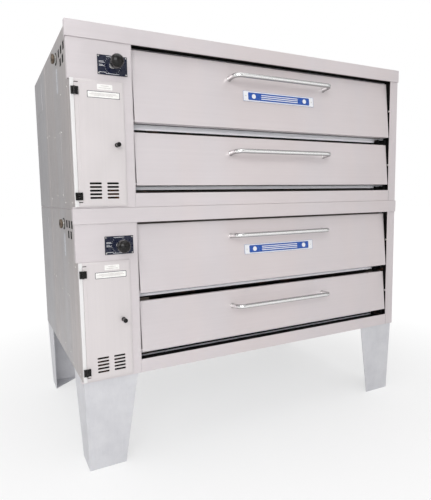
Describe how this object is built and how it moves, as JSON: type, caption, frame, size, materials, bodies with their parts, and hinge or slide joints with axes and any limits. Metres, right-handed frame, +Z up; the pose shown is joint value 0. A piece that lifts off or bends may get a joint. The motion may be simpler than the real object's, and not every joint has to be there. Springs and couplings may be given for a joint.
{
  "type": "double deck pizza oven",
  "caption": "Stacked gas deck oven: two stainless sections with drop-down doors, control columns and tapered sheet-metal legs.",
  "frame": {"origin": "on the floor, under the middle of the whole object's box", "axes": "+X to the right seen from the front, +Y to the back, +Z up; the doors face -Y"},
  "size_m": [1.665, 1.102, 1.6817],
  "materials": {
    "stainless": "brushed, satin, light",
    "warm_steel": "satin, nearly white, faint grain",
    "side_steel": "vertical mill grain, duller and darker",
    "leg_steel": "cool grey sheet, slightly mottled",
    "chrome": "polished tube",
    "black_plastic": "moulded, soft gloss",
    "navy_plate": "enamelled plate",
    "badge_blue": "enamelled plate with a pale border",
    "hot_steel": "heat-tinted sheet",
    "hearth": "pressed mineral slab",
    "cast_iron": "rough cast",
    "black_pipe": "black iron pipe",
    "aluminium": "die-cast",
    "wool": "mineral wool"
  },
  "bodies": {
    "oven": {"front_left_leg": "leg_steel", "front_right_leg": "leg_steel", "rear_left_leg": "leg_steel", "rear_right_leg": "leg_steel", "lower_side_casing": "side_steel", "lower_top_cover": "stainless", "lower_base_pan": "leg_steel", "lower_control_panel": "stainless", "lower_front_frame": "stainless", "lower_baking_chamber": "hot_steel", "lower_burner_box": "hot_steel", "lower_hearth_deck": "hearth", "lower_insulation": "wool", "lower_burner": "cast_iron", "lower_gas_inlet_pipe": "black_pipe", "lower_gas_manifold": "black_pipe", "lower_gas_valve": "aluminium", "lower_thermostat": "aluminium", "lower_dial_plate": "navy_plate", "lower_service_frame": "warm_steel", "lower_service_hinge_top": "black_plastic", "lower_service_hinge_bottom": "black_plastic", "upper_side_casing": "side_steel", "upper_top_cover": "stainless", "upper_base_pan": "leg_steel", "upper_control_panel": "stainless", "upper_front_frame": "stainless", "upper_baking_chamber": "hot_steel", "upper_burner_box": "hot_steel", "upper_hearth_deck": "hearth", "upper_insulation": "wool", "upper_burner": "cast_iron", "upper_gas_inlet_pipe": "black_pipe", "upper_gas_manifold": "black_pipe", "upper_gas_valve": "aluminium", "upper_thermostat": "aluminium", "upper_dial_plate": "navy_plate", "upper_service_frame": "warm_steel", "upper_service_hinge_top": "black_plastic", "upper_service_hinge_bottom": "black_plastic"},
    "lower_deck_door": {"lower_deck_door": "stainless", "lower_deck_door_liner": "hot_steel", "lower_deck_door_handle": "chrome", "lower_deck_door_badge": "badge_blue"},
    "lower_burner_door": {"lower_burner_door": "stainless", "lower_burner_door_handle": "chrome"},
    "lower_service_door": {"lower_service_door": "warm_steel"},
    "lower_service_latch": {"lower_service_latch": "black_plastic"},
    "lower_thermostat_knob": {"lower_thermostat_knob": "black_plastic"},
    "lower_gas_valve_knob": {"lower_gas_valve_knob": "black_plastic"},
    "upper_deck_door": {"upper_deck_door": "stainless", "upper_deck_door_liner": "hot_steel", "upper_deck_door_handle": "chrome", "upper_deck_door_badge": "badge_blue"},
    "upper_burner_door": {"upper_burner_door": "stainless", "upper_burner_door_handle": "chrome"},
    "upper_service_door": {"upper_service_door": "warm_steel"},
    "upper_service_latch": {"upper_service_latch": "black_plastic"},
    "upper_thermostat_knob": {"upper_thermostat_knob": "black_plastic"},
    "upper_gas_valve_knob": {"upper_gas_valve_knob": "black_plastic"}
  },
  "joints": [
    {"name": "lower_deck_door_hinge", "type": "hinge", "parent": "oven", "child": "lower_deck_door", "pos_m": [0, -0.4545, 0.689], "axis": [1, 0, 0], "range_deg": [0, 95]},
    {"name": "lower_burner_door_hinge", "type": "hinge", "parent": "oven", "child": "lower_burner_door", "pos_m": [0, -0.4545, 0.4505], "axis": [1, 0, 0], "range_deg": [0, 95]},
    {"name": "lower_service_door_hinge", "type": "hinge", "parent": "oven", "child": "lower_service_door", "pos_m": [-0.8025, -0.48, 0.595], "axis": [0, 0, -1], "range_deg": [0, 110]},
    {"name": "lower_service_latch_turn", "type": "hinge", "parent": "lower_service_door", "child": "lower_service_latch", "pos_m": [-0.655, -0.485, 0.593], "axis": [0, 1, 0], "range_deg": [0, 90]},
    {"name": "lower_thermostat_turn", "type": "hinge", "parent": "oven", "child": "lower_thermostat_knob", "pos_m": [-0.6585, -0.515, 0.88], "axis": [0, 1, 0], "range_deg": [0, 300]},
    {"name": "lower_gas_valve_turn", "type": "hinge", "parent": "oven", "child": "lower_gas_valve_knob", "pos_m": [-0.7145, -0.245, 0.482], "axis": [0, 1, 0], "range_deg": [0, 180]},
    {"name": "upper_deck_door_hinge", "type": "hinge", "parent": "oven", "child": "upper_deck_door", "pos_m": [0, -0.4545, 1.349], "axis": [1, 0, 0], "range_deg": [0, 95]},
    {"name": "upper_burner_door_hinge", "type": "hinge", "parent": "oven", "child": "upper_burner_door", "pos_m": [0, -0.4545, 1.1105], "axis": [1, 0, 0], "range_deg": [0, 95]},
    {"name": "upper_service_door_hinge", "type": "hinge", "parent": "oven", "child": "upper_service_door", "pos_m": [-0.8025, -0.48, 1.255], "axis": [0, 0, -1], "range_deg": [0, 110]},
    {"name": "upper_service_latch_turn", "type": "hinge", "parent": "upper_service_door", "child": "upper_service_latch", "pos_m": [-0.655, -0.485, 1.253], "axis": [0, 1, 0], "range_deg": [0, 90]},
    {"name": "upper_thermostat_turn", "type": "hinge", "parent": "oven", "child": "upper_thermostat_knob", "pos_m": [-0.6585, -0.515, 1.54], "axis": [0, 1, 0], "range_deg": [0, 300]},
    {"name": "upper_gas_valve_turn", "type": "hinge", "parent": "oven", "child": "upper_gas_valve_knob", "pos_m": [-0.7145, -0.245, 1.142], "axis": [0, 1, 0], "range_deg": [0, 180]}
  ]
}
